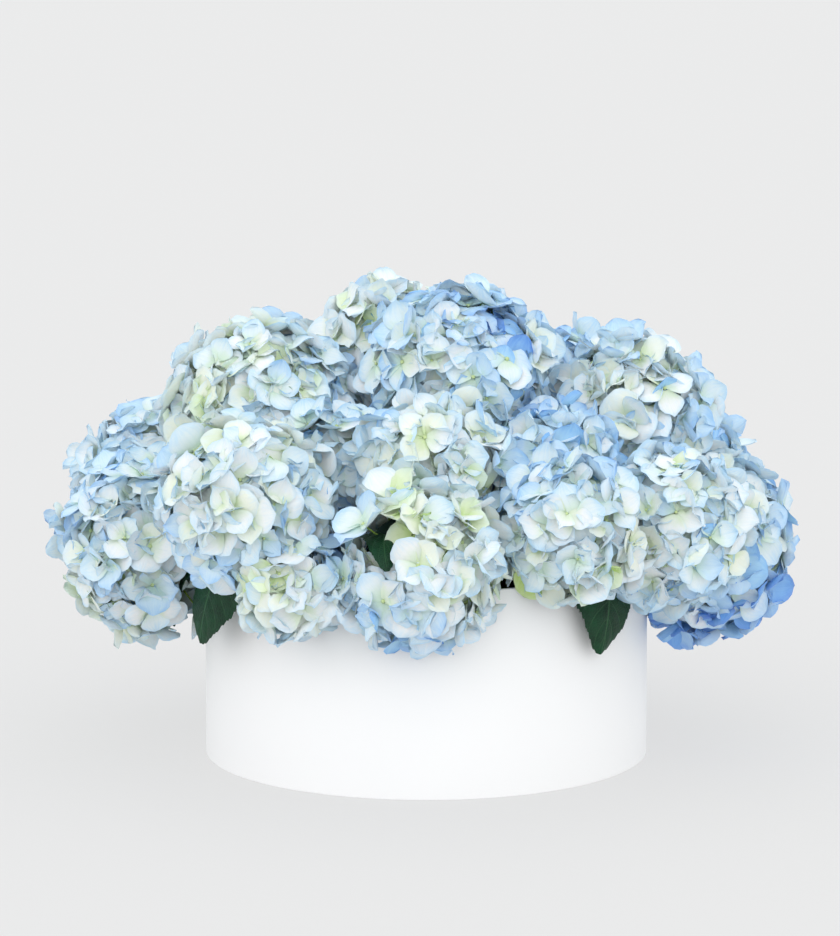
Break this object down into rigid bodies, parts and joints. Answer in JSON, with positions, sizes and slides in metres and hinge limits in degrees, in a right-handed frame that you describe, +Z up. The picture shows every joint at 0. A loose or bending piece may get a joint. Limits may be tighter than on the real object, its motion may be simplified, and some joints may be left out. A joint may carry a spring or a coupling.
{
  "type": "hydrangea arrangement in a round box",
  "caption": "Dome of blue and white hydrangea mopheads with dark leaves in a plain round card box, held by stems in floral foam.",
  "frame": {"origin": "middle of the underside of the box, on the surface it stands on", "axes": "+Z up, the front of the arrangement faces -Y, +X to the right of someone looking at the front"},
  "size_m": [0.5755, 0.522, 0.3707],
  "materials": {
    "card": "smooth white paper wrapped over rigid board",
    "liner": "thin waterproof plastic film",
    "foam": "wet open-pored floral foam",
    "petals": "soft matt petals",
    "stem": "smooth green bark",
    "leaf": "waxy dark green leaf"
  },
  "bodies": {
    "root": {"box_wall": "card", "box_base": "card", "liner": "liner", "foam_left": "foam", "foam_right": "foam", "bloom_right": "petals", "stem_right": "stem", "bloom_right_front": "petals", "stem_right_front": "stem", "bloom_front_right": "petals", "stem_front_right": "stem", "bloom_front": "petals", "stem_front": "stem", "bloom_front_left_low": "petals", "stem_front_left_low": "stem", "bloom_front_left": "petals", "stem_front_left": "stem", "bloom_left": "petals", "stem_left": "stem", "bloom_left_back": "petals", "stem_left_back": "stem", "bloom_back_left": "petals", "stem_back_left": "stem", "bloom_back": "petals", "stem_back": "stem", "bloom_back_right": "petals", "stem_back_right": "stem", "bloom_right_back": "petals", "stem_right_back": "stem", "bloom_upper_right": "petals", "stem_upper_right": "stem", "bloom_upper_front": "petals", "stem_upper_front": "stem", "bloom_upper_front_right": "petals", "stem_upper_front_right": "stem", "bloom_upper_front_left": "petals", "stem_upper_front_left": "stem", "bloom_upper_left": "petals", "stem_upper_left": "stem", "bloom_upper_back_right": "petals", "stem_upper_back_right": "stem", "bloom_upper_back": "petals", "stem_upper_back": "stem", "bloom_upper_back_left": "petals", "stem_upper_back_left": "stem", "bloom_top": "petals", "stem_top": "stem", "bloom_top_back": "petals", "stem_top_back": "stem", "leaf_front_left": "leaf", "leaf_front_right": "leaf", "leaf_front": "leaf", "leaf_left": "leaf", "leaf_right": "leaf", "leaf_back_right": "leaf", "leaf_back": "leaf", "leaf_back_left": "leaf"}
  },
  "joints": []
}
